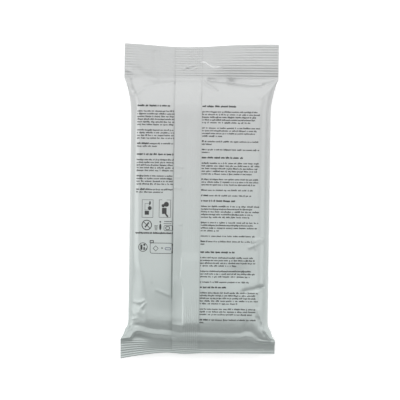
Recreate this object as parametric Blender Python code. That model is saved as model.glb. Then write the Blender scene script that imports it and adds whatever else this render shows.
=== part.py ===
"""Sealed flow-wrap pack of wet wipes, lying on its front face with its back up.

The film is a flattened tube round a stack of wipes. Both ends are crimped flat. The long
fin seal stands out of the middle of the back and is folded over to the left, from end to
end, and a hang slit is cut through the top end seal. Everything is in metres, +Z is up,
and the pack lies along Y with its hang slit at the +Y end.
"""

import math
from dataclasses import dataclass

import bmesh
import bpy

MM = 0.001
NAME = "wet_wipes_pack"

# Film tube and stack of wipes
GIRTH = 215.0 * MM            # distance round the film tube
BODY_HALF_TOP = 8.8 * MM      # half the pack's thickness at its upper end
BODY_HALF_LOW = 9.3 * MM      # the same at its lower end, where the wipes settle
CROWN = 0.8 * MM              # rise of the back along its middle
BODY_TOP_Y = 64.0 * MM        # where the stack's full thickness ends, upper end
BODY_LOW_Y = -84.0 * MM       # the same, lower end

# End seals: two layers of film, crimped in ridges across the pack
SEAL_HALF = 0.35 * MM         # half the seal's thickness
RIDGE_HEIGHT = 0.22 * MM      # a ridge above or below the seal's middle
TOP_ROOT_Y = 86.0 * MM        # the top seal's inner edge
TOP_CUT_Y = 110.0 * MM        # the top seal's cut edge, at the corners
TOP_RIDGES = 13
TOP_MID_Z = 8.6 * MM          # the top seal's height above the floor
TOP_DIP = 2.6 * MM            # how far the cut edge bows in, left of the middle
TOP_DIP_X = -11.0 * MM
TOP_DIP_REACH = 31.0 * MM
LOW_ROOT_Y = -96.0 * MM       # the bottom seal's inner edge
LOW_CUT_Y = -105.5 * MM       # the bottom seal's cut edge, on the right
LOW_RIDGES = 8
LOW_ROOT_Z = 7.6 * MM         # the bottom seal droops from here
LOW_CUT_Z = 1.6 * MM          # to here
CORNER_DROP = 4.5 * MM        # how much further the lower left corner reaches
CORNER_LIFT = 2.4 * MM        # and how much less it droops
CORNER_X = -20.0 * MM         # where that corner starts

# Fin seal, folded over to the left
FIN_ROOT_X = 0.0
FIN_WIDTH = 18.0 * MM
FIN_THICK = 0.4 * MM
FIN_GAP = 0.2 * MM            # between the fin and the back, at the fold
FIN_LIFT = 0.7 * MM           # extra gap under the free edge, over the body

# Hang slit: two straight wings and a hump between them
SLIT_X = 1.3 * MM
SLIT_Y = 94.1 * MM
SLIT_WIDTH = 27.0 * MM
SLIT_OPEN = 0.9 * MM
HUMP_HALF = 4.3 * MM
HUMP_HEIGHT = 3.2 * MM
SLIT_STEPS = 36
CUT_DEPTH = 8.0 * MM

# How finely the outline is divided
ARC_STEPS = 4                 # each quarter of a rounded side
LEFT_STEPS = 4                # back, left side to the fin's free edge
FIN_STEPS = 4                 # across the fin
RIGHT_STEPS = 5               # back, right side to the fin's fold
ROOT_COLUMN = ARC_STEPS + RIGHT_STEPS + 1
SHOULDER_STEPS = 6
BODY_STEPS = 5


@dataclass
class Station:
    """One place along the pack. The shares run from 0 on the body to 1 at a cut edge."""
    y: float
    half_thick: float
    mid_z: float
    top_share: float = 0.0
    low_share: float = 0.0
    ridge: float = 0.0
    fullness: float = 0.0

    @property
    def half_width(self):
        """The film tube's girth is fixed, so the pack is narrow where it is thick."""
        return (GIRTH - 2 * (math.pi - 2) * self.half_thick) / 4


def mix(start, end, share):
    return start + (end - start) * share


def swell(share):
    """Thickness from a seal (0) to the stack (1): straight at first, then rounding over."""
    return 1 - (1 - share) ** 1.6


def top_dip(x):
    """How far the top cut edge lies inside its corners."""
    return -TOP_DIP * math.exp(-((x - TOP_DIP_X) / TOP_DIP_REACH) ** 2)


def corner_share(x):
    """0 along the bottom seal, growing to 1 at its left corner."""
    reach = GIRTH / 4 + CORNER_X
    return min(1.0, max(0.0, (CORNER_X - x) / reach)) ** 1.5


def top_seal_stations():
    """From the cut edge inwards, one station on each ridge and one in each groove."""
    steps = 2 * TOP_RIDGES
    found = []
    for i in range(steps):
        share = 1 - i / steps
        ridge = RIDGE_HEIGHT if i % 2 else -RIDGE_HEIGHT
        y = mix(TOP_ROOT_Y, TOP_CUT_Y, share)
        found.append(Station(y, SEAL_HALF, TOP_MID_Z, top_share=share, ridge=ridge))
    return found


def low_seal_stations():
    steps = 2 * LOW_RIDGES
    found = []
    for i in range(1, steps + 1):
        share = i / steps
        ridge = RIDGE_HEIGHT if i % 2 else -RIDGE_HEIGHT
        y = mix(LOW_ROOT_Y, LOW_CUT_Y, share)
        mid_z = mix(LOW_ROOT_Z, LOW_CUT_Z, share)
        found.append(Station(y, SEAL_HALF, mid_z, low_share=share, ridge=ridge))
    return found


def shoulder_stations(root_y, root_z, body_y, body_half):
    """From an end seal's inner edge to where the stack is fully thick."""
    found = []
    for i in range(SHOULDER_STEPS):
        share = i / SHOULDER_STEPS
        half = mix(SEAL_HALF, body_half, swell(share))
        mid_z = mix(root_z, body_half, swell(share))
        y = mix(root_y, body_y, share)
        found.append(Station(y, half, mid_z, fullness=share))
    return found


def body_stations():
    found = []
    for i in range(BODY_STEPS + 1):
        share = i / BODY_STEPS
        half = mix(BODY_HALF_TOP, BODY_HALF_LOW, share)
        y = mix(BODY_TOP_Y, BODY_LOW_Y, share)
        found.append(Station(y, half, half, fullness=1.0))
    return found


def all_stations():
    upper = shoulder_stations(TOP_ROOT_Y, TOP_MID_Z, BODY_TOP_Y, BODY_HALF_TOP)
    lower = shoulder_stations(LOW_ROOT_Y, LOW_ROOT_Z, BODY_LOW_Y, BODY_HALF_LOW)
    return top_seal_stations() + upper + body_stations() + lower[::-1] + low_seal_stations()


def crown(station, x):
    return CROWN * station.fullness * (1 - (x / station.half_width) ** 2)


def spread(start, end, steps):
    """Places between two ends, without the ends."""
    return [mix(start, end, i / steps) for i in range(1, steps)]


def columns(station):
    """Where the section is measured, from its right tip to its left: (x, half height)."""
    half = station.half_thick
    flat = station.half_width - half
    free_x = FIN_ROOT_X - FIN_WIDTH
    fold_x = FIN_ROOT_X + FIN_THICK
    angles = [math.pi / 2 * i / ARC_STEPS for i in range(ARC_STEPS + 1)]
    rounded = [(flat + half * math.cos(angle), half * math.sin(angle)) for angle in angles]
    across = spread(flat, fold_x, RIGHT_STEPS) + [fold_x, FIN_ROOT_X]
    across += spread(FIN_ROOT_X, free_x, FIN_STEPS) + [free_x]
    across += spread(free_x, -flat, LEFT_STEPS)
    left = [(-x, rise) for x, rise in reversed(rounded)]
    return rounded + [(x, half) for x in across] + left


def fin_gap(station, x):
    """Space between the back and the fin, widest under its free edge."""
    out = (FIN_ROOT_X - x) / FIN_WIDTH
    return FIN_GAP + FIN_LIFT * station.fullness * max(0.0, out) ** 2


def section(station):
    """The section as four lines of (x, z), each from right to left.

    The back and the front meet at the two tips. The fin is a thin arm between its outer
    face, which starts at the fold, and its under face, which starts at the root.
    """
    found = columns(station)
    back = [(x, station.mid_z + rise + crown(station, x)) for x, rise in found]
    front = [(x, station.mid_z - rise) for x, rise in found]
    arm = back[ROOT_COLUMN:ROOT_COLUMN + FIN_STEPS + 1]
    under = [(x, z + fin_gap(station, x)) for x, z in arm]
    fold_x, fold_z = back[ROOT_COLUMN - 1]
    outer = [(fold_x, fold_z + FIN_GAP)] + [(x, z + FIN_THICK) for x, z in under]
    return {"back": back, "front": front[1:-1], "outer": outer, "under": under}


def place(station, x, z):
    """A point of the outline, with the end seals' bow, droop and ridges."""
    corner = corner_share(x)
    y = station.y + top_dip(x) * station.top_share - CORNER_DROP * corner * station.low_share
    lift = CORNER_LIFT * corner * station.low_share
    return (x, y, z + lift + station.ridge)


def ring_of(lines):
    """All four lines as one loop round the section."""
    back = lines["back"]
    fin = lines["outer"] + lines["under"][::-1]
    return back[:ROOT_COLUMN] + fin + back[ROOT_COLUMN:] + lines["front"][::-1]


def strip(form, upper, lower):
    """Faces between two lines of points. Where the lines share a point it is a triangle."""
    for i in range(len(upper) - 1):
        corners = [upper[i], upper[i + 1], lower[i + 1], lower[i]]
        form.faces.new(dict.fromkeys(corners))


def close_end(form, lines):
    """The cut edge of an end seal, and of the fin lying on it."""
    back = lines["back"]
    strip(form, back, back[:1] + lines["front"] + back[-1:])
    outer, under = lines["outer"], lines["under"]
    form.faces.new((back[ROOT_COLUMN - 1], outer[0], under[0], back[ROOT_COLUMN]))
    strip(form, outer, under[:1] + under)


def make_film():
    """Loft of the sections, closed at both cut edges."""
    form = bmesh.new()
    rings = []
    for station in all_stations():
        lines = {}
        for name, points in section(station).items():
            lines[name] = [form.verts.new(place(station, x, z)) for x, z in points]
        rings.append(ring_of(lines))
        if station.top_share == 1 or station.low_share == 1:
            close_end(form, lines)
    for ring, following in zip(rings, rings[1:]):
        for i in range(len(ring)):
            k = (i + 1) % len(ring)
            form.faces.new((ring[i], ring[k], following[k], following[i]))
    bmesh.ops.triangulate(form, faces=form.faces[:], quad_method="SHORT_EDGE")
    bmesh.ops.recalc_face_normals(form, faces=form.faces[:])
    mesh = bpy.data.meshes.new("pack")
    form.to_mesh(mesh)
    form.free()
    mesh.shade_smooth()
    mesh.set_sharp_from_angle(angle=math.radians(30))
    return bpy.data.objects.new("pack", mesh)


def slit_middle(x):
    """Height of the slit's middle line at x, along the wings and over the hump."""
    offset = abs(x - SLIT_X) / HUMP_HALF
    if offset >= 1:
        return SLIT_Y
    return SLIT_Y + HUMP_HEIGHT * math.cos(math.pi / 2 * offset) ** 2


def make_slit_cutter(collection):
    """The hang slit as an upright prism: its upper edge out, its lower edge back."""
    places = [SLIT_X + SLIT_WIDTH * (i / SLIT_STEPS - 0.5) for i in range(SLIT_STEPS + 1)]
    upper = [(x, slit_middle(x) + SLIT_OPEN / 2) for x in places]
    lower = [(x, slit_middle(x) - SLIT_OPEN / 2) for x in reversed(places)]
    flat = bpy.data.curves.new("hang_slit_outline", "CURVE")
    flat.dimensions = "2D"
    flat.fill_mode = "BOTH"
    flat.extrude = CUT_DEPTH / 2
    line = flat.splines.new("POLY")
    line.points.add(len(upper + lower) - 1)
    for point, (x, y) in zip(line.points, upper + lower):
        point.co = (x, y, 0.0, 1.0)
    line.use_cyclic_u = True
    shape = bpy.data.objects.new("hang_slit_outline", flat)
    shape.location.z = TOP_MID_Z
    collection.objects.link(shape)
    return as_mesh(shape, "hang_slit_cutter", collection)


def as_mesh(shape, name, collection):
    """Replace a curve object by a closed mesh in the same place."""
    bpy.context.view_layer.update()
    seen = shape.evaluated_get(bpy.context.evaluated_depsgraph_get())
    mesh = bpy.data.meshes.new_from_object(seen)
    form = bmesh.new()
    form.from_mesh(mesh)
    bmesh.ops.remove_doubles(form, verts=form.verts[:], dist=0.00001)
    bmesh.ops.recalc_face_normals(form, faces=form.faces[:])
    form.to_mesh(mesh)
    form.free()
    solid = bpy.data.objects.new(name, mesh)
    solid.matrix_world = shape.matrix_world.copy()
    collection.objects.link(solid)
    bpy.data.objects.remove(shape)
    solid.hide_render = True
    solid.display_type = "WIRE"
    return solid


def cut(solid, cutter):
    step = solid.modifiers.new(cutter.name, "BOOLEAN")
    step.operation = "DIFFERENCE"
    step.solver = "EXACT"
    step.object = cutter


def film_material():
    """Pale grey satin film with a faint green cast."""
    material = bpy.data.materials.new("film")
    material.use_nodes = True
    shader = material.node_tree.nodes["Principled BSDF"]
    shader.inputs["Base Color"].default_value = (0.57, 0.61, 0.59, 1.0)
    shader.inputs["Roughness"].default_value = 0.38
    shader.inputs["Metallic"].default_value = 0.0
    material.diffuse_color = (0.57, 0.61, 0.59, 1.0)
    return material


def main():
    for found in list(bpy.data.objects):
        bpy.data.objects.remove(found)
    parts = bpy.data.collections.new(NAME)
    cutters = bpy.data.collections.new(NAME + "_cutters")
    bpy.context.scene.collection.children.link(parts)
    bpy.context.scene.collection.children.link(cutters)
    pack = make_film()
    pack.data.materials.append(film_material())
    parts.objects.link(pack)
    cut(pack, make_slit_cutter(cutters))


main()
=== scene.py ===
"""The looks of a sealed flow-wrap pack of wet wipes, lying on its front with its back up.

The film is one closed skin, lofted finely along the pack: a tube flattened into crimped end
seals, with the fin seal folded over to the left as part of the same skin. Folds, dents and
crinkles are laid out below in millimetres, in the pack's own frame: +X to the right, +Y
towards the hang slit, +Z out of the back. The print is thin blocks that follow the film.
"""

import math
import random

import bmesh
import bpy
import numpy as np
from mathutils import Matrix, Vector, noise
from mathutils.bvhtree import BVHTree


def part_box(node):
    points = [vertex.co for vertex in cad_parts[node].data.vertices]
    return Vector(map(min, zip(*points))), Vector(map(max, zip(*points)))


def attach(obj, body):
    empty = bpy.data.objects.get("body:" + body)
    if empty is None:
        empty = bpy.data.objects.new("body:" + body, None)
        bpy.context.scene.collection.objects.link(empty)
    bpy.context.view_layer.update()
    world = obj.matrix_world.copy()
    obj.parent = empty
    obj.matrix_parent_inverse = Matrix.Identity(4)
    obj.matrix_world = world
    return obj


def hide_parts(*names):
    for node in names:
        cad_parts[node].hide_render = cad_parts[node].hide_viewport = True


MM = 0.001

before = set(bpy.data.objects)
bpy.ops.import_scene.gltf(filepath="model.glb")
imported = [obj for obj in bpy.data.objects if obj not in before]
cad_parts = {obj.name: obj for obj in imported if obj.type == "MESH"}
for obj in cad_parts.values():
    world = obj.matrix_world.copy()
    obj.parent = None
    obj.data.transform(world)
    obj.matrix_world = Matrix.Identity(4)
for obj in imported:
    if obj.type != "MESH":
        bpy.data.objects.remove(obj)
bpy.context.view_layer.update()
PACK_LOW, PACK_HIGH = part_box("pack")

# ---------------------------------------------------------------- the pack's own measures, mm
GIRTH = 215.0
CROWN = 0.8
TOP_CUT_Y = 110.0
TOP_ROOT_Y = 86.0
BODY_TOP_Y = 64.0
BODY_LOW_Y = -82.0
LOW_ROOT_Y = -96.0
LOW_CUT_Y = -105.5
TOP_RIDGES = 13
LOW_RIDGES = 8
TOP_DIP, TOP_DIP_X, TOP_DIP_REACH = 2.6, -11.0, 31.0
CORNER_X, CORNER_DROP, CORNER_LIFT = -20.0, 4.5, 2.4
FIN_WIDTH = 18.0
FIN_THICK = 0.25
FIN_FOLD_X = 0.4
FIN_RIB_WIDTH = 9.8
FIN_RIB_PITCH = 1.4

# Height of the back and of the front along the pack, each (y, z)
BACK_LINE = (
    (110.0, 8.3), (98.0, 8.9), (90.0, 9.2), (86.0, 9.1), (82.2, 11.1), (76.6, 14.0), (71.0, 16.0),
    (66.0, 17.3), (60.0, 17.9), (0.0, 18.1), (-70.0, 18.5), (-79.0, 18.5), (-82.0, 18.3),
    (-84.5, 17.85), (-86.5, 17.2), (-88.6, 16.3), (-89.4, 16.05), (-92.8, 16.0), (-93.8, 15.2),
    (-96.0, 12.8), (-101.0, 10.6), (-103.2, 9.8), (-105.5, 9.5),
)
FRONT_LINE = (
    (110.0, 7.9), (98.0, 8.5), (90.0, 8.8), (86.0, 8.7), (82.2, 6.2), (76.6, 3.6), (71.0, 1.4),
    (66.0, 0.2), (62.0, 0.0), (0.0, 0.0), (-84.0, 0.0), (-86.2, 0.4), (-88.0, 2.8),
    (-89.4, 5.2), (-91.0, 6.8), (-93.2, 9.2), (-95.0, 11.4), (-96.0, 12.2), (-101.0, 10.0),
    (-103.2, 9.3), (-105.5, 9.0),
)

# How finely the skin is divided
TOP_SEAL_ROWS = 6 * TOP_RIDGES
TOP_SHOULDER_ROWS = 40
BODY_ROWS = 188
LOW_SHOULDER_ROWS = 40
LOW_SEAL_ROWS = 6 * LOW_RIDGES
ARC_COLUMNS = 12
RIGHT_COLUMNS = 60
LEFT_COLUMNS = 36
RIB_COLUMNS = 28
SKIRT_COLUMNS = 14
UNDER_FIN_X = (0.0, -4.5, -9.0, -13.5, -17.0, -17.7, -17.95, -18.2, -18.5, -18.9, -19.4)
EVERY_ARC, EVERY_FLAT, EVERY_FIN = 2, 3, 6


def smooth_step(low, high, value):
    """0 below low, 1 above high, and an S between them. high may be the smaller one."""
    share = np.clip((value - low) / (high - low), 0.0, 1.0)
    return share * share * (3 - 2 * share)


def bump(value, middle, reach):
    """A soft bell of height 1 about middle."""
    return np.exp(-((value - middle) / reach) ** 2)


def curve_through(points, where):
    """A smooth curve through (place, value) points that never overshoots them."""
    at, value = np.array(sorted(points)).T
    step = np.diff(at)
    slope = np.diff(value) / step
    same_way = slope[:-1] * slope[1:] > 0
    total = np.where(same_way, slope[:-1] + slope[1:], 1.0)
    inner = np.where(same_way, 2 * slope[:-1] * slope[1:] / total, 0.0)
    tangent = np.concatenate([slope[:1], inner, slope[-1:]])
    k = np.clip(np.searchsorted(at, where) - 1, 0, len(step) - 1)
    t = (where - at[k]) / step[k]
    rise = value[k + 1] - value[k]
    ease = t * t * (3 - 2 * t)
    start = t * (1 - t) ** 2 * step[k] * tangent[k]
    end = t * t * (t - 1) * step[k] * tangent[k + 1]
    return value[k] + rise * ease + start + end


def noise_at(x, y, size, seed):
    """Smooth noise of about -1 to 1, with features of the given size in mm."""
    places = zip((x / size).ravel(), (y / size).ravel())
    found = [noise.noise((a, b, seed)) for a, b in places]
    return np.array(found).reshape(x.shape)


# ---------------------------------------------------------------- folds and dents of the back
# Each fold: its path, the half width of its rounded crest, and its height (down if negative)
FOLDS = (
    # top seal and upper shoulder, left of the fin
    (((-32.8, 103.0), (-32.0, 93.0), (-31.2, 85.0)), 2.2, -0.50),
    (((-44.5, 92.0), (-38.0, 87.5), (-33.0, 84.0)), 2.4, -0.45),
    (((-54.0, 91.6), (-49.7, 90.4), (-46.6, 88.2), (-47.6, 85.2)), 0.8, 0.40),
    (((-46.4, 73.0), (-40.0, 78.0), (-32.2, 80.6), (-19.6, 82.4)), 1.2, 0.55),
    (((-50.6, 84.6), (-48.0, 78.0), (-46.6, 70.0), (-46.6, 60.0)), 1.3, -0.60),
    # upper shoulder, right of the fin
    (((1.6, 83.4), (5.0, 80.8), (10.8, 77.0)), 0.8, -0.75),
    (((2.6, 84.6), (6.5, 82.2), (12.5, 78.2)), 0.9, 0.35),
    (((5.0, 84.8), (14.0, 83.8), (22.0, 83.0)), 0.9, -0.9),
    (((20.0, 83.6), (28.0, 82.6), (36.0, 81.6), (42.0, 81.9)), 1.7, -1.6),
    (((34.4, 80.2), (41.0, 80.2)), 0.6, 0.5),
    (((41.0, 80.6), (47.0, 82.6), (53.0, 85.2)), 0.9, 0.8),
    (((52.2, 82.6), (48.6, 78.8), (42.0, 72.6)), 1.2, 0.65),
    (((51.0, 78.0), (47.4, 71.6)), 1.2, -0.5),
    # dents of the right half
    (((49.4, -24.4), (43.6, -25.0), (37.0, -27.6)), 0.8, 0.65),
    (((44.4, -26.2), (39.0, -29.6), (34.6, -31.4)), 1.0, 0.60),
    (((38.2, -25.8), (38.8, -32.4)), 0.7, 0.45),
    (((31.6, -47.5), (31.6, -61.0)), 0.55, 0.30),
    (((44.6, -58.6), (38.5, -60.6), (31.4, -62.0)), 1.8, -0.95),
    (((44.6, -59.2), (42.0, -59.6)), 0.9, -0.9),
    (((45.6, -60.4), (40.0, -63.0)), 0.8, 0.35),
    # lower left: streaks and crinkles of the slack film
    (((-32.6, -40.0), (-32.3, -56.0)), 0.8, 0.22),
    (((-29.0, -61.6), (-23.0, -63.8), (-18.6, -65.6)), 0.9, 0.26),
    (((-45.2, -69.8), (-41.0, -70.6), (-37.2, -69.0)), 0.65, 0.42),
    (((-41.6, -77.4), (-38.8, -73.6), (-36.6, -70.8)), 0.6, 0.42),
    (((-41.0, -72.6), (-38.4, -76.2)), 0.8, -0.45),
    (((-46.6, -76.0), (-43.6, -79.4), (-42.0, -84.6)), 0.8, 0.35),
    (((-48.0, -83.0), (-43.2, -81.6)), 0.7, 0.35),
    # lower right: the pleat from the body's corner to the seal's
    (((40.8, -74.0), (43.4, -81.0), (46.4, -88.6), (51.8, -97.6)), 0.8, 1.15),
    (((41.0, -80.0), (43.4, -86.0), (46.0, -91.6)), 0.8, -0.6),
)

# Soft hollows and swellings: (x, y, reach across, reach along, height)
SOFT_FORMS = (
    (22.0, -10.0, 14.0, 40.0, -0.5), (-33.0, 20.0, 9.0, 30.0, -0.35),
    (28.0, -50.0, 10.0, 6.5, -1.2), (10.0, -58.0, 9.0, 10.0, 0.5),
    (34.0, -72.0, 9.0, 6.0, 0.5), (16.0, -79.0, 12.0, 5.0, 0.5),
    (-26.0, -76.0, 8.0, 9.0, -0.5), (36.0, 20.0, 8.0, 18.0, 0.3),
    (8.0, 30.0, 9.0, 22.0, -0.25), (-24.0, 48.0, 9.0, 12.0, -0.25),
)

# The line, across the pack, where the stack's end wall lands on the terrace above the seal
TERRACE_LINE = (
    (-54.0, -94.2), (-47.2, -91.6), (-44.4, -87.6), (-41.4, -86.8), (-36.0, -87.8),
    (-31.5, -88.7), (-19.0, -89.8), (-13.0, -91.1), (-6.5, -90.7), (10.0, -90.9), (22.0, -91.2),
    (29.0, -91.0), (33.0, -89.6), (36.0, -89.8), (40.0, -92.2), (44.8, -95.8), (54.0, -97.4),
)
TERRACE_Y = -89.4

# Where the slack film of the lower left turns down to the side: (y, x)
SIDE_TURN = ((110.0, -45.0), (-30.0, -43.6), (-44.0, -41.0), (-58.0, -37.0), (-72.0, -35.5),
             (-80.0, -35.5), (-86.0, -37.5), (-110.0, -38.0))
SIDE_SLOPE = 0.30


def fold_height(x, y, path, half_width, height):
    """A rounded crest along a path, dying away past its ends."""
    nearest = np.full(x.shape, 1e9)
    for (ax, ay), (bx, by) in zip(path, path[1:]):
        along = ((x - ax) * (bx - ax) + (y - ay) * (by - ay)) / ((bx - ax) ** 2 + (by - ay) ** 2)
        along = np.clip(along, 0.0, 1.0)
        gap = np.hypot(x - ax - along * (bx - ax), y - ay - along * (by - ay))
        nearest = np.minimum(nearest, gap)
    return height * np.exp(-(nearest / half_width) ** 1.6)


def terrace(x, y):
    """Moves the back's lower profile up or down the pack, so that its terrace wanders."""
    held = smooth_step(-70.0, -84.0, y) * smooth_step(-99.0, -94.0, y)
    shift = (curve_through(TERRACE_LINE, x) - TERRACE_Y) * held
    return curve_through(BACK_LINE, y - shift) - curve_through(BACK_LINE, y)


def broad_form(x, y):
    """The back's large, soft shapes, in mm above the plain loft."""
    slack = smooth_step(-46.0, -88.0, y)
    form = -1.9 * slack * smooth_step(-9.0, -20.0, x)
    turned = smooth_step(-36.0, -52.0, y) * smooth_step(-98.0, -84.0, y)
    past = curve_through(SIDE_TURN, y) - x
    form -= SIDE_SLOPE * turned * (past + np.hypot(past, 0.8)) / 2
    for at_x, at_y, across, along, height in SOFT_FORMS:
        form += height * bump(x, at_x, across) * bump(y, at_y, along)
    right_seal = smooth_step(2.0, 20.0, x) * smooth_step(83.0, 97.0, y)
    return form + 1.3 * right_seal + terrace(x, y)


def crinkles(x, y):
    """Small facets of the film: faint over the stack, stronger towards the ends and sides."""
    ends = np.maximum(smooth_step(58.0, 80.0, y), smooth_step(-70.0, -88.0, y))
    sides = smooth_step(38.0, 48.0, np.abs(x))
    strength = 0.06 + 0.16 * ends + 0.10 * sides
    facets = np.abs(noise_at(x, y, 9.0, 3.1)) + 0.5 * np.abs(noise_at(x, y, 4.0, 8.7))
    soft = noise_at(x, y * 0.6, 22.0, 5.5)
    return strength * facets + 0.22 * soft


def back_relief(x, y):
    """All of the back's shape beyond the plain loft. Under the fin only the large forms."""
    small = crinkles(x, y)
    for path, half_width, height in FOLDS:
        small += fold_height(x, y, path, half_width, height)
    covered = smooth_step(-19.0, -17.6, x) * smooth_step(0.8, -0.3, x)
    return broad_form(x, y) + small * (1 - covered) - groove(x, y)


# ---------------------------------------------------------------- end seals
def top_share(y):
    return np.clip((y - TOP_ROOT_Y) / (TOP_CUT_Y - TOP_ROOT_Y), 0.0, 1.0)


def low_share(y):
    return np.clip((y - LOW_ROOT_Y) / (LOW_CUT_Y - LOW_ROOT_Y), 0.0, 1.0)


def corner_share(x):
    """0 along the bottom seal, growing to 1 at its left corner."""
    reach = GIRTH / 4 + CORNER_X
    return np.clip((CORNER_X - x) / reach, 0.0, 1.0) ** 1.5


def seal_shift(x, y):
    """How far the end seals' rows bow along the pack, and how far they lift."""
    along = -TOP_DIP * bump(x, TOP_DIP_X, TOP_DIP_REACH) * top_share(y)
    along -= (CORNER_DROP * corner_share(x) + 0.7 * bump(x, -9.0, 9.0)) * low_share(y)
    lift = CORNER_LIFT * corner_share(x) * low_share(y)
    return along, lift


def ridges(x, y):
    """Crimp ridges across both end seals. Their strength varies as the jaws bit."""
    top = top_share(y)
    wave = np.sin(2 * math.pi * TOP_RIDGES * top)
    bite = 0.025 + 0.10 * smooth_step(4.0, 30.0, x + 30 * (0.5 - top)) 
    bite += 0.07 * smooth_step(-44.0, -52.0, x)
    bite += 0.05 * smooth_step(-19.0, -17.0, x) * smooth_step(1.0, -1.0, x)
    bite *= smooth_step(0.0, 0.06, top)
    low = low_share(y)
    low_wave = np.sin(2 * math.pi * LOW_RIDGES * low + 0.05 * (x + 9.0))
    low_bite = 0.02 + 0.10 * smooth_step(-30.0, -42.0, x) + 0.09 * smooth_step(0.45, 0.75, low)
    low_bite += 0.06 * smooth_step(-19.0, -17.0, x) * smooth_step(1.0, -1.0, x)
    low_bite *= smooth_step(0.0, 0.08, low)
    return np.where(top > 0, bite * wave, 0.0) + np.where(low > 0, low_bite * low_wave, 0.0)


# ---------------------------------------------------------------- the fin
# How far the loose skirt's free edge stands off the back: (y, mm)
SKIRT_LIFT = ((112.0, 0.1), (88.0, 0.15), (60.0, 0.5), (0.0, 0.6), (-20.0, 1.0), (-34.0, 1.9),
              (-62.0, 2.2), (-78.0, 1.5), (-90.0, 0.5), (-97.0, 0.15), (-112.0, 0.1))
# Where the skirt leaves the fin's sealed strip: (y, x)
SKIRT_FOLD = ((112.0, -9.8), (0.0, -9.8), (-30.0, -12.0), (-47.0, -12.4), (-52.0, -13.1),
              (-56.0, -11.9), (-62.0, -10.9), (-83.0, -10.9), (-92.0, -9.8), (-112.0, -9.8))
FIN_FOLDS = (
    (((-16.6, 24.2), (-12.0, 23.6)), 0.5, 0.32),
    (((-17.4, 17.0), (-14.0, 16.6)), 0.5, 0.30),
    (((-17.6, 9.6), (-13.4, 9.0)), 0.5, 0.30),
    (((-14.6, -15.6), (-12.4, -16.2)), 0.5, 0.30),
    # small creases where the slit is cut through the fin
    (((-12.4, 92.6), (-9.6, 94.6)), 0.5, 0.35),
    (((-11.4, 93.8), (-8.6, 92.4)), 0.4, -0.25),
    (((-8.2, 94.9), (-5.0, 95.4)), 0.5, 0.30),
    (((-6.6, 92.4), (-3.4, 93.6)), 0.5, 0.22),
    # end wall of the stack, seen through the fin
    (((-17.6, -85.4), (-10.0, -86.0)), 1.2, 0.30),
)


def groove(x, y):
    """The sharp step in the film beside the fin's free edge."""
    along = 0.10 + 0.20 * smooth_step(10.0, -20.0, y) * smooth_step(-70.0, -55.0, y)
    seals = 1 - 0.5 * np.maximum(smooth_step(84.0, 90.0, y), smooth_step(-95.0, -99.0, y))
    return along * seals * smooth_step(-18.95, -18.35, x) * smooth_step(-16.6, -17.4, x)


def fin_gap(x, y):
    """Space between the back and the folded fin."""
    fold = curve_through(SKIRT_FOLD, y)
    out = np.clip((fold - x) / (fold + FIN_WIDTH), 0.0, 1.0)
    rise = 0.25 * smooth_step(92.0, 78.0, y) * smooth_step(-97.0, -90.0, y)
    return 0.15 + rise * smooth_step(0.4, -3.0, x) + curve_through(SKIRT_LIFT, y) * out


def fin_relief(x, y):
    """Ribs of the fin's sealed strip, the step where the skirt leaves it, and small folds."""
    strip_share = smooth_step(-FIN_RIB_WIDTH - 0.3, -FIN_RIB_WIDTH + 0.5, x) * smooth_step(0.0, -0.6, x)
    pressed = 0.02 + 0.12 * smooth_step(-62.0, -80.0, y) + 0.06 * smooth_step(90.0, 98.0, y)
    total = strip_share * pressed * np.cos(2 * math.pi * x / FIN_RIB_PITCH)
    fold = curve_through(SKIRT_FOLD, y)
    stepped = smooth_step(-34.0, -42.0, y) * smooth_step(-90.0, -84.0, y)
    total += 0.8 * stepped * smooth_step(fold - 0.4, fold + 0.5, x)
    total += 0.10 * np.abs(noise_at(x, y * 0.5, 7.0, 1.7))
    for path, half_width, height in FIN_FOLDS:
        total += fold_height(x, y, path, half_width, height)
    return total


# ---------------------------------------------------------------- the skin
def even(start, end, count):
    """count places from start towards end, without the end."""
    return start + (end - start) * np.arange(count) / count


def all_rows():
    """The rows' places along the pack before the seals bow, from the top cut edge down."""
    parts = (
        even(TOP_CUT_Y, TOP_ROOT_Y, TOP_SEAL_ROWS),
        even(TOP_ROOT_Y, BODY_TOP_Y, TOP_SHOULDER_ROWS),
        even(BODY_TOP_Y, BODY_LOW_Y, BODY_ROWS),
        even(BODY_LOW_Y, LOW_ROOT_Y, LOW_SHOULDER_ROWS),
        even(LOW_ROOT_Y, LOW_CUT_Y, LOW_SEAL_ROWS),
    )
    return np.append(np.concatenate(parts), LOW_CUT_Y)


def back_columns(flat):
    """Across the back from its right tip to its left, before the sides are rounded.

    flat is half the width between the rounded sides, for each row. Returns x as
    (rows, columns), and each column's angle up the rounded side, 90 degrees on the flat.
    """
    angle = np.linspace(0.0, math.pi / 2, ARC_COLUMNS + 1)
    right = even(0.0, 1.0, RIGHT_COLUMNS)[1:]
    left = even(0.0, 1.0, LEFT_COLUMNS)[1:]
    flat = flat[:, None]
    fin_edge = UNDER_FIN_X[-1]
    across = np.concatenate([
        flat * np.ones(ARC_COLUMNS + 1),
        flat + (FIN_FOLD_X - flat) * right,
        np.ones_like(flat) * np.array((FIN_FOLD_X,) + UNDER_FIN_X),
        fin_edge + (-flat - fin_edge) * left,
        -flat * np.ones(ARC_COLUMNS + 1),
    ], axis=1)
    top = np.full(across.shape[1] - 2 * (ARC_COLUMNS + 1), math.pi / 2)
    return across, np.concatenate([angle, top, angle[::-1]])


ROOT_COLUMN = ARC_COLUMNS + RIGHT_COLUMNS + 1
FIN_X = np.concatenate([
    even(0.0, -FIN_RIB_WIDTH, RIB_COLUMNS),
    even(-FIN_RIB_WIDTH, -FIN_WIDTH, SKIRT_COLUMNS),
    [-FIN_WIDTH],
])


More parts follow.
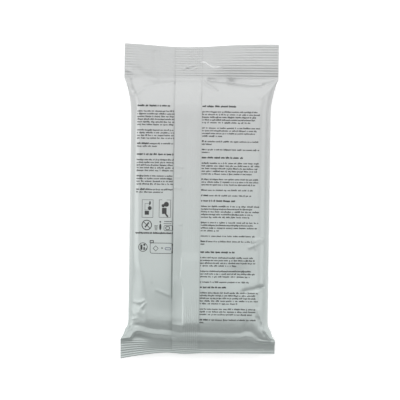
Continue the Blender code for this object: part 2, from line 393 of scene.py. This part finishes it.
def front_picks(count):
    """Numbers of the back's columns that the plainer front repeats, without the two tips."""
    arc = list(range(EVERY_ARC, ARC_COLUMNS + 1, EVERY_ARC))
    flat = list(range(ARC_COLUMNS + EVERY_FLAT, count - 1 - ARC_COLUMNS, EVERY_FLAT))
    return arc + flat + [count - 1 - k for k in reversed(arc)]


def under_picks():
    """Numbers of the fin's outer columns that its hidden underside repeats."""
    last = RIB_COLUMNS + SKIRT_COLUMNS
    return list(range(0, last - 1, EVERY_FIN)) + [last]


def lowest_near(sheet, reach):
    """Each column's lowest value within reach columns of it."""
    padded = np.pad(sheet, ((0, 0), (reach, reach)), mode="edge")
    near = [padded[:, k:k + sheet.shape[1]] for k in range(2 * reach + 1)]
    return np.min(near, axis=0)


def skin_lines():
    """The skin as four sheets of points, (rows, columns, xyz) in mm, each right to left."""
    y = all_rows()
    back_z = curve_through(BACK_LINE, y)
    front_z = curve_through(FRONT_LINE, y)
    half = (back_z - front_z) / 2
    middle = (back_z + front_z)[:, None] / 2
    width = (GIRTH - 2 * (math.pi - 2) * half) / 4
    full = smooth_step(0.0, 6.0, half)[:, None]
    flat_film = smooth_step(3.0, 0.6, half)[:, None]

    def surface(x, rows, sine):
        """Height of the back and what the front shares of it, and the place along the pack."""
        shift, lift = seal_shift(x, rows)
        place = rows + shift
        crown = CROWN * full * (1 - (x / width[:, None]) ** 2)
        relief = back_relief(x, place)
        common = lift + ridges(x, rows) + flat_film * relief
        back = middle + half[:, None] * sine + common
        back += crown * (sine > 0) + (1 - flat_film) * relief * sine
        return place, back, common

    across, angle = back_columns(width - half)
    side = np.where(np.arange(len(angle)) < len(angle) // 2, 1.0, -1.0)
    x = across + side * half[:, None] * np.cos(angle)
    rows = np.broadcast_to(y[:, None], x.shape)
    place, back, common = surface(x, rows, np.sin(angle))
    front = middle - half[:, None] * np.sin(angle) + lowest_near(common, EVERY_FLAT - 1)
    front += 0.25 * full * np.clip(noise_at(x, rows, 13.0, 12.3), 0.0, 1.0)
    front = np.maximum(front, PACK_LOW.z / MM)

    fin_x = np.broadcast_to(np.append(FIN_FOLD_X, FIN_X), (len(y), len(FIN_X) + 1))
    fin_rows = np.broadcast_to(y[:, None], fin_x.shape)
    fin_place, fin_base, _ = surface(fin_x, fin_rows, np.ones(fin_x.shape[1]))
    under = fin_base + fin_gap(fin_x, fin_rows) + groove(fin_x, fin_place)
    outer = under + FIN_THICK + fin_relief(fin_x, fin_rows)
    outer[:, 0] -= FIN_THICK / 2
    picks = np.array(front_picks(x.shape[1]))
    hidden = 1 + np.array(under_picks())
    return {
        "back": np.stack([x, place, back], axis=2),
        "outer": np.stack([fin_x, fin_place, outer], axis=2),
        "under": np.stack([fin_x, fin_place, under], axis=2)[:, hidden],
        "front": np.stack([x, place, front], axis=2)[:, picks],
    }


def skin_ring(lines):
    """Joins the four sheets round the section. lines holds lists of columns."""
    parts = (
        lines["back"][:ROOT_COLUMN],
        lines["outer"],
        lines["under"][::-1],
        lines["back"][ROOT_COLUMN:],
        lines["front"][::-1],
    )
    return [column for part in parts for column in part]


def fan_strip(fine, coarse, picks):
    """Faces between a fine line of points and a coarse one that repeats some of its places."""
    faces = []
    for i in range(len(picks) - 1):
        upper = fine[picks[i]:picks[i + 1] + 1]
        faces.append(list(dict.fromkeys(upper + [coarse[i + 1], coarse[i]])))
    return faces


def end_faces(lines):
    """The cut edge of an end seal. lines holds point numbers."""
    back, outer, under = lines["back"], lines["outer"], lines["under"]
    picks = [0] + front_picks(len(back)) + [len(back) - 1]
    faces = fan_strip(back, back[:1] + lines["front"] + back[-1:], picks)
    faces.append([back[ROOT_COLUMN - 1], outer[0], outer[1], under[0], back[ROOT_COLUMN]])
    return faces + fan_strip(outer[1:], under, under_picks())


def make_skin():
    """The whole film as one closed skin."""
    lines = skin_lines()
    rows = lines["back"].shape[0]
    columns = {name: list(sheet.transpose(1, 0, 2)) for name, sheet in lines.items()}
    ring = np.stack(skin_ring(columns), axis=1)
    around = ring.shape[1]

    numbers = {}
    count = 0
    for name, sheet in columns.items():
        numbers[name] = list(range(count, count + len(sheet)))
        count += len(sheet)
    ring_place = {number: place for place, number in enumerate(skin_ring(numbers))}

    faces = []
    for i in range(rows - 1):
        here = i * around
        for k in range(around):
            nxt = (k + 1) % around
            faces.append([here + k, here + nxt, here + around + nxt, here + around + k])
    for i in (0, rows - 1):
        end = {name: [i * around + ring_place[n] for n in group] for name, group in numbers.items()}
        faces += end_faces(end)

    mesh = bpy.data.meshes.new("film_skin")
    mesh.from_pydata(ring.reshape(-1, 3) * MM, [], faces)
    form = bmesh.new()
    form.from_mesh(mesh)
    bmesh.ops.recalc_face_normals(form, faces=form.faces[:])
    form.to_mesh(mesh)
    form.free()
    return add_object("film_skin", mesh)


def add_object(name, mesh):
    made = bpy.data.objects.new(name, mesh)
    bpy.context.scene.collection.objects.link(made)
    return made


# ---------------------------------------------------------------- hang slit
SLIT_X, SLIT_Y = 1.0, 94.0
SLIT_WIDTH = 27.0
HUMP_HALF, HUMP_HEIGHT = 7.2, 3.4
SLIT_STEPS = 54
SLIT_FLOOR, SLIT_CEILING = 3.0, 15.0


def slit_middle(x):
    offset = min(1.0, abs(x - SLIT_X) / HUMP_HALF)
    sag = -0.5 * float(smooth_step(-2.0, -9.0, x - SLIT_X))
    return SLIT_Y + sag + HUMP_HEIGHT * math.cos(math.pi / 2 * offset) ** 2


def slit_opening(x):
    """Width of the slit: pulled open at the right and the crest, nearly shut under the fin."""
    share = (x - SLIT_X) / (SLIT_WIDTH / 2)
    ends = max(0.0, 1 - abs(share) ** 4)
    return ends * (0.10 + 0.75 * float(smooth_step(-0.14, 0.0, share)))


def cut_slit(skin):
    """Cuts the hang slit through the top seal and the fin on it."""
    places = [SLIT_X + SLIT_WIDTH * (i / SLIT_STEPS - 0.5) for i in range(SLIT_STEPS + 1)]
    form = bmesh.new()

    def wall(side, z):
        """The slit's far or near edge. Both edges share the two end points."""
        inner = [(x, slit_middle(x) + side * slit_opening(x) / 2, z) for x in places[1:-1]]
        return [form.verts.new(Vector(place) * MM) for place in inner]

    def tip(x, z):
        return form.verts.new(Vector((x, slit_middle(x), z)) * MM)

    layers = []
    for z in (SLIT_FLOOR, SLIT_CEILING):
        start, end = tip(places[0], z), tip(places[-1], z)
        layers.append([[start] + wall(side, z) + [end] for side in (1, -1)])
    (low_far, low_near), (high_far, high_near) = layers
    pairs = ((low_far, low_near), (high_far, high_near), (low_far, high_far), (low_near, high_near))
    for one, other in pairs:
        for i in range(SLIT_STEPS):
            corners = dict.fromkeys([one[i], one[i + 1], other[i + 1], other[i]])
            form.faces.new(list(corners))
    bmesh.ops.recalc_face_normals(form, faces=form.faces[:])
    mesh = bpy.data.meshes.new("slit_cutter")
    form.to_mesh(mesh)
    form.free()
    cutter = add_object("slit_cutter", mesh)
    step = skin.modifiers.new("slit", "BOOLEAN")
    step.operation = "DIFFERENCE"
    step.solver = "EXACT"
    step.object = cutter
    bpy.context.view_layer.update()
    seen = skin.evaluated_get(bpy.context.evaluated_depsgraph_get())
    whole = bpy.data.meshes.new_from_object(seen)
    skin.modifiers.clear()
    skin.data = whole
    bpy.data.objects.remove(cutter)


# ---------------------------------------------------------------- print
INK_RISE, INK_SINK = 0.035, 0.03
ROW_PITCH = 1.87
FIRST_ROW_Y = 65.9
RIGHT_TEXT_X = (0.95, 41.6)
LEFT_TEXT_X = (-44.0, -1.4)
LETTER_HEIGHT = 0.80
LETTER_GAP = 0.13
SPACE = 0.62
WORD_LENGTHS = (0.9, 1.4, 2.0, 2.6, 3.3, 4.1, 5.0)

# Blocks of print: (first row, rows, share of the last row filled, kind)
RIGHT_BLOCKS = (
    (0, 1, 0.59, "heading"), (2, 5, 0.82, "plain"), (8, 4, 0.36, "plain"),
    (13, 2, 0.17, "bold start"), (16, 2, 0.14, "bold start"), (19, 1, 0.71, "heading"),
    (21, 5, 0.86, "plain"), (27, 3, 1.0, "plain"), (31, 1, 0.91, "plain"),
    (33, 1, 0.89, "bold start"), (35, 1, 0.58, "heading"), (37, 5, 0.86, "plain"),
    (43, 4, 0.31, "plain"), (48, 1, 0.92, "plain"), (50, 2, 0.07, "bold start"),
    (54, 1, 0.62, "heading"), (56, 4, 0.64, "plain"), (61, 3, 0.86, "plain"),
    (65, 1, 0.83, "plain"), (67, 1, 0.45, "heading"), (69, 5, 0.64, "plain"),
    (75, 3, 0.89, "plain"), (79, 2, 0.07, "bold start"),
)
LEFT_BLOCKS = (
    (0, 1, 0.55, "heading"), (2, 6, 0.75, "plain"), (9, 4, 0.9, "plain"),
    (14, 2, 0.35, "bold start"), (18, 1, 0.72, "heading"), (20, 5, 0.8, "plain"),
    (26, 4, 0.7, "plain"), (31, 2, 0.45, "bold start"),
)


class Ink:
    """Thin closed blocks of print laid on the film, all in one mesh."""

    def __init__(self, name, skin):
        self.name = name
        self.form = bmesh.new()
        self.film = BVHTree.FromObject(skin, bpy.context.evaluated_depsgraph_get())

    def film_z(self, x, y):
        start = Vector((x * MM, y * MM, 60 * MM))
        return self.film.ray_cast(start, Vector((0.0, 0.0, -1.0)))[0].z / MM

    def corner(self, x, y):
        """The block's lower and upper point at (x, y)."""
        z = self.film_z(x, y)
        places = ((x, y, z - INK_SINK), (x, y, z + INK_RISE))
        return [self.form.verts.new(Vector(place) * MM) for place in places]

    def block(self, outline):
        """A closed block over a convex outline."""
        pairs = [self.corner(x, y) for x, y in outline]
        for i, (low, high) in enumerate(pairs):
            next_low, next_high = pairs[(i + 1) % len(pairs)]
            self.form.faces.new((low, next_low, next_high, high))
        self.form.faces.new([low for low, _ in pairs][::-1])
        self.form.faces.new([high for _, high in pairs])

    def box(self, x0, y0, x1, y1):
        self.block(((x0, y0), (x1, y0), (x1, y1), (x0, y1)))

    def band(self, one, other, closed=False):
        """A closed band between two lines of places with equal numbers of points."""
        near = [self.corner(x, y) for x, y in one]
        far = [self.corner(x, y) for x, y in other]
        count = len(near)
        for i in range(count if closed else count - 1):
            k = (i + 1) % count
            (a, a_up), (b, b_up) = near[i], near[k]
            (c, c_up), (d, d_up) = far[k], far[i]
            faces = ((a, d, c, b), (a_up, b_up, c_up, d_up), (a, b, b_up, a_up), (d, d_up, c_up, c))
            for face in faces:
                self.form.faces.new(face)
        if not closed:
            for (a, a_up), (d, d_up) in ((near[0], far[0]), (far[-1], near[-1])):
                self.form.faces.new((a, a_up, d_up, d))

    def line(self, start, end, width):
        """A straight stroke, divided so that it follows the film."""
        (ax, ay), (bx, by) = start, end
        length = math.hypot(bx - ax, by - ay)
        across = (-(by - ay) / length * width / 2, (bx - ax) / length * width / 2)
        steps = max(1, round(length / 1.2))
        path = [(ax + (bx - ax) * i / steps, ay + (by - ay) * i / steps) for i in range(steps + 1)]
        one = [(x + across[0], y + across[1]) for x, y in path]
        self.band(one, [(x - across[0], y - across[1]) for x, y in path])

    def ring(self, x, y, radius, width, steps=28):
        turn = [2 * math.pi * i / steps for i in range(steps)]
        inner, outer = radius - width / 2, radius + width / 2
        one = [(x + inner * math.cos(a), y + inner * math.sin(a)) for a in turn]
        self.band(one, [(x + outer * math.cos(a), y + outer * math.sin(a)) for a in turn], True)

    def oval(self, x, y, half_x, half_y, steps=16):
        turn = [2 * math.pi * i / steps for i in range(steps)]
        self.block([(x + half_x * math.cos(a), y + half_y * math.sin(a)) for a in turn])

    def disc(self, x, y, radius):
        self.oval(x, y, radius, radius)

    def rounded(self, box, radius, width, steps=5):
        """The outline of a rectangle with round corners. box is x0, y0, x1, y1."""
        x0, y0, x1, y1 = box
        centres = ((x1, y1, -1, -1), (x0, y1, 1, -1), (x0, y0, 1, 1), (x1, y0, -1, 1))
        outer, inner = [], []
        for quarter, (x, y, side_x, side_y) in enumerate(centres):
            for i in range(steps):
                turn = math.pi / 2 * (quarter + i / (steps - 1))
                at = (x + side_x * radius, y + side_y * radius)
                for line, reach in ((outer, radius), (inner, radius - width)):
                    line.append((at[0] + reach * math.cos(turn), at[1] + reach * math.sin(turn)))
        self.band(inner, outer, True)

    def frame(self, x0, y0, x1, y1, width):
        """A rectangle's outline."""
        one = ((x0, y0), (x1, y0), (x1, y1), (x0, y1))
        inset = ((x0 + width, y0 + width), (x1 - width, y0 + width))
        inset += ((x1 - width, y1 - width), (x0 + width, y1 - width))
        self.band(one, inset, True)

    def finish(self, material):
        bmesh.ops.recalc_face_normals(self.form, faces=self.form.faces[:])
        mesh = bpy.data.meshes.new(self.name)
        self.form.to_mesh(mesh)
        self.form.free()
        mesh.materials.append(material)
        return add_object(self.name, mesh)


def letter_run(ink, draw, x, y, length, bold, stop):
    """One word as a run of small plain blocks, none of them past stop."""
    gap = LETTER_GAP * (0.35 if bold else 1.0)
    tall = LETTER_HEIGHT * (1.25 if bold else 1.0)
    while length > 0.25:
        wide = min(length, draw.uniform(0.30, 0.66))
        if x + wide > stop:
            return
        low = y - (0.22 if draw.random() < 0.12 else 0.0)
        high = y + tall * draw.uniform(0.85, 1.1) + (0.28 if draw.random() < 0.22 else 0.0)
        ink.box(x, low, x + wide, high)
        x += wide + gap
        length -= wide + gap


def text_row(ink, draw, span, y, fill, kind, first_row, stop):
    """One row of print. A full row's words spread to reach both margins."""
    left, right = span
    room = (right - left) * fill
    words = []
    used = -SPACE
    while used < room:
        length = draw.choice(WORD_LENGTHS)
        words.append(length)
        used += length + SPACE
    words[-1] -= used - room
    if words[-1] < min(WORD_LENGTHS):
        used -= words.pop() + SPACE
    spare = (room - used) / max(1, len(words) - 1) if fill == 1.0 else 0.0
    x = left
    for i, length in enumerate(words):
        bold = kind == "heading" or (kind == "bold start" and first_row and i < 2)
        letter_run(ink, draw, x, y, length, bold, stop)
        x += length + SPACE + spare


def text_column(ink, seed, span, blocks, stop):
    draw = random.Random(seed)
    for first, rows, last_share, kind in blocks:
        for i in range(rows):
            y = FIRST_ROW_Y - ROW_PITCH * (first + i) - LETTER_HEIGHT / 2
            fill = last_share if i == rows - 1 else 1.0
            text_row(ink, draw, span, y, fill, kind, i == 0, stop)


def framed_signs(ink):
    """Two framed care signs: a pack and a wipe, each only as plain blocks and discs."""
    ink.frame(-39.9, -11.6, -32.1, 0.9, 0.28)
    ink.frame(-37.9, -6.4, -34.9, -1.7, 0.22)
    ink.box(-38.0, -9.6, -35.0, -6.9)
    ink.disc(-34.5, -5.0, 1.35)
    ink.oval(-34.4, -1.4, 0.62, 1.35)
    ink.frame(-28.1, -11.4, -19.9, 1.0, 0.28)
    ink.disc(-23.0, -2.2, 1.75)
    ink.disc(-25.2, -3.2, 1.15)
    ink.box(-26.0, -8.9, -22.8, -4.7)
    ink.line((-24.4, -7.6), (-21.9, -10.9), 1.1)


def small_signs(ink, fin_edge):
    """A barred ring, a basket and post, a label with a tag, and a row of small marks."""
    ink.ring(-36.4, -16.7, 3.3, 0.6)
    ink.line((-38.6, -14.5), (-34.2, -18.9), 0.5)
    ink.line((-37.6, -18.3), (-35.0, -14.9), 0.95)
    for i in range(4):
        ink.line((-30.9 + 0.62 * i, -17.2), (-30.6 + 0.42 * i, -20.3), 0.22)
    ink.line((-31.1, -17.1), (-28.8, -17.1), 0.3)
    ink.oval(-27.0, -17.9, 0.75, 2.3)
    ink.disc(-27.1, -14.4, 0.6)
    for i in range(6):
        ink.box(-24.2 + 0.9 * i, -14.4, -23.55 + 0.9 * i, -13.75)
    ink.line((-24.8, -15.6), (fin_edge, -15.6), 0.35)
    ink.rounded((-24.6, -20.6, fin_edge, -16.7), 1.0, 0.34)
    ink.rounded((-23.4, -19.9, -20.4, -17.4), 0.8, 0.5)
    ink.block(((-20.0, -19.8), (-18.7, -19.8), (-18.7, -16.9)))


def emblem_row(ink, fin_edge):
    """A round badge of plain shapes, and a label that holds a diamond, a cross and a pill."""
    ink.ring(-38.85, -32.05, 3.0, 0.42)
    ink.box(-40.6, -33.9, -39.2, -30.3)
    ink.disc(-37.9, -30.4, 0.75)
    ink.box(-38.5, -34.2, -37.5, -32.0)
    ink.disc(-36.5, -33.4, 0.6)
    ink.frame(-34.2, -29.2, -31.4, -27.2, 0.55)
    ink.rounded((-34.0, -36.4, fin_edge, -28.9), 1.4, 0.36)
    half = 2.0
    corners = ((half, 0.0), (0.0, half), (-half, 0.0), (0.0, -half))
    inner = [(-30.0 + 0.76 * x, -32.8 + 0.76 * y) for x, y in corners]
    ink.band([(-30.0 + x, -32.8 + y) for x, y in corners], inner, True)
    ink.box(-26.2, -32.75, -25.0, -32.25)
    ink.box(-25.85, -33.1, -25.35, -31.9)
    for low, high in ((-30.8, -29.4), (-36.1, -34.7)):
        ink.box(-18.95, low, fin_edge, high)


def make_print(skin, ink_colour, pill_colour):
    fin_edge = -FIN_WIDTH - 0.25
    ink = Ink("print_right", skin)
    text_column(ink, 11, RIGHT_TEXT_X, RIGHT_BLOCKS, RIGHT_TEXT_X[1] + 0.4)
    pieces = [ink.finish(ink_colour)]
    ink = Ink("print_left", skin)
    text_column(ink, 23, LEFT_TEXT_X, LEFT_BLOCKS, fin_edge)
    tiny = random.Random(5)
    text_row(ink, tiny, (-44.2, -14.0), -22.7, 1.0, "heading", True, fin_edge)
    pieces.append(ink.finish(ink_colour))
    ink = Ink("print_signs", skin)
    framed_signs(ink)
    small_signs(ink, fin_edge)
    emblem_row(ink, fin_edge)
    pieces.append(ink.finish(ink_colour))
    ink = Ink("print_pill", skin)
    ink.rounded((-23.7, -33.9, -19.4, -32.0), 0.9, 0.4)
    pieces.append(ink.finish(pill_colour))
    return pieces


# ---------------------------------------------------------------- materials
FILM_TOP_TONE = (0.512, 0.522, 0.520)
FILM_LOW_TONE = (0.470, 0.520, 0.507)
FILM_PATCH_TONE = (0.56, 0.58, 0.58)
DARK_INK = ((0.020, 0.022, 0.022), (0.045, 0.048, 0.048))
PILL_INK = ((0.075, 0.080, 0.150), (0.100, 0.105, 0.180))


def new_material(name):
    material = bpy.data.materials.new(name)
    material.use_nodes = True
    nodes = material.node_tree.nodes
    return material, nodes, material.node_tree.links, nodes["Principled BSDF"]


def object_noise(nodes, links, scale, detail=3.0, roughness=0.5):
    """A noise texture in the object's own space. scale is features per metre."""
    where = nodes.new("ShaderNodeTexCoord")
    texture = nodes.new("ShaderNodeTexNoise")
    texture.inputs["Scale"].default_value = scale
    texture.inputs["Detail"].default_value = detail
    texture.inputs["Roughness"].default_value = roughness
    links.new(where.outputs["Object"], texture.inputs["Vector"])
    return texture


def spread_to(nodes, links, value, low, high):
    """Maps a noise value's middle range to low..high."""
    scale = nodes.new("ShaderNodeMapRange")
    scale.inputs["From Min"].default_value = 0.3
    scale.inputs["From Max"].default_value = 0.7
    scale.inputs["To Min"].default_value = low
    scale.inputs["To Max"].default_value = high
    links.new(value, scale.inputs["Value"])
    return scale.outputs["Result"]


def mixed(nodes, links, share, low, high):
    """A colour that goes from low to high as share goes from 0 to 1."""
    tone = nodes.new("ShaderNodeMix")
    tone.data_type = "RGBA"
    for name, colour in (("A", low), ("B", high)):
        if isinstance(colour, tuple):
            tone.inputs[name].default_value = colour + (1.0,)
        else:
            links.new(colour, tone.inputs[name])
    links.new(share, tone.inputs["Factor"])
    return tone.outputs["Result"]


def film_material():
    """Satin packaging film: neutral pale grey at the top, with a faint green cast lower down."""
    material, nodes, links, shader = new_material("satin_film")
    where = nodes.new("ShaderNodeTexCoord")
    axes = nodes.new("ShaderNodeSeparateXYZ")
    links.new(where.outputs["Object"], axes.inputs["Vector"])
    height = nodes.new("ShaderNodeMapRange")
    height.interpolation_type = "SMOOTHSTEP"
    height.inputs["From Min"].default_value = -0.07
    height.inputs["From Max"].default_value = 0.085
    links.new(axes.outputs["Y"], height.inputs["Value"])
    cast = mixed(nodes, links, height.outputs["Result"], FILM_LOW_TONE, FILM_TOP_TONE)
    cloud = object_noise(nodes, links, 28.0)
    patch = spread_to(nodes, links, cloud.outputs["Fac"], 0.0, 0.10)
    links.new(mixed(nodes, links, patch, cast, FILM_PATCH_TONE), shader.inputs["Base Color"])
    haze = object_noise(nodes, links, 90.0, 4.0)
    links.new(spread_to(nodes, links, haze.outputs["Fac"], 0.31, 0.37), shader.inputs["Roughness"])
    shader.inputs["Metallic"].default_value = 0.22
    grain = object_noise(nodes, links, 420.0, 4.0, 0.6)
    relief = nodes.new("ShaderNodeBump")
    relief.inputs["Strength"].default_value = 0.30
    relief.inputs["Distance"].default_value = 0.0001
    links.new(grain.outputs["Fac"], relief.inputs["Height"])
    links.new(relief.outputs["Normal"], shader.inputs["Normal"])
    return material


def ink_material(name, one, other):
    """Ink under the film's own gloss, a little uneven."""
    material, nodes, links, shader = new_material(name)
    speck = object_noise(nodes, links, 1500.0, 2.0)
    share = spread_to(nodes, links, speck.outputs["Fac"], 0.0, 1.0)
    links.new(mixed(nodes, links, share, one, other), shader.inputs["Base Color"])
    shader.inputs["Roughness"].default_value = 0.42
    return material


def floor_material():
    material, nodes, links, shader = new_material("studio_floor")
    shader.inputs["Base Color"].default_value = (0.86, 0.86, 0.86, 1.0)
    shader.inputs["Roughness"].default_value = 0.9
    shader.inputs["Specular IOR Level"].default_value = 0.1
    shader.inputs["Emission Color"].default_value = (1.0, 1.0, 1.0, 1.0)
    shader.inputs["Emission Strength"].default_value = 0.42
    return material


# ---------------------------------------------------------------- studio
CAMERA_DISTANCE = 1.544
LENS = 200.0
VIEW_CENTRE = Vector((0.0002, 0.0011, 0.0126))
VIEW_ROLL = math.radians(0.8)
ROOM_LIGHT = 0.02            # the pale room behind the lights, as it lights the pack
ROOM_SEEN = 1.0              # and as it is seen past the floor


def add_camera():
    data = bpy.data.cameras.new("camera")
    data.lens = LENS
    data.clip_end = 20.0
    camera = bpy.data.objects.new("camera", data)
    bpy.context.scene.collection.objects.link(camera)
    camera.location = VIEW_CENTRE + Vector((0.0, 0.0, CAMERA_DISTANCE))
    camera.rotation_euler = (0.0, 0.0, VIEW_ROLL)
    bpy.context.scene.camera = camera


def add_light(name, place, size, watts):
    """A square soft box that faces the pack."""
    data = bpy.data.lights.new(name, "AREA")
    data.size = size
    data.energy = watts
    light = bpy.data.objects.new(name, data)
    bpy.context.scene.collection.objects.link(light)
    light.location = place
    light.rotation_euler = (-Vector(place)).to_track_quat("-Z", "Y").to_euler()


def add_studio():
    bpy.ops.mesh.primitive_plane_add(size=8.0, location=(0.0, 0.0, -0.0004))
    floor = bpy.context.object
    floor.name = "studio_floor"
    floor.data.materials.append(floor_material())
    add_light("key_beyond_top", (0.1, 1.7, 1.0), 2.0, 20.5)
    add_light("side_right", (1.4, 0.1, 0.9), 1.4, 11.0)
    add_light("side_left", (-1.4, 0.1, 0.9), 1.4, 15.5)
    add_light("overhead", (0.0, 0.3, 2.4), 2.4, 26.0)
    world = bpy.data.worlds.new("pale_room")
    world.use_nodes = True
    nodes, links = world.node_tree.nodes, world.node_tree.links
    room = nodes["Background"]
    room.inputs["Color"].default_value = (1.0, 1.0, 1.0, 1.0)
    path = nodes.new("ShaderNodeLightPath")
    strength = nodes.new("ShaderNodeMapRange")
    strength.inputs["To Min"].default_value = ROOM_LIGHT
    strength.inputs["To Max"].default_value = ROOM_SEEN
    links.new(path.outputs["Is Camera Ray"], strength.inputs["Value"])
    links.new(strength.outputs["Result"], room.inputs["Strength"])
    bpy.context.scene.world = world
    bpy.context.scene.view_settings.view_transform = "Standard"


def main():
    film = film_material()
    skin = make_skin()
    cut_slit(skin)
    skin.data.materials.clear()
    skin.data.materials.append(film)
    skin.data.shade_smooth()
    skin.data.set_sharp_from_angle(angle=math.radians(50))
    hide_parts("pack")
    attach(skin, "root")
    dark, pill = ink_material("dark_ink", *DARK_INK), ink_material("pill_ink", *PILL_INK)
    for piece in make_print(skin, dark, pill):
        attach(piece, "root")
    add_studio()
    add_camera()


main()
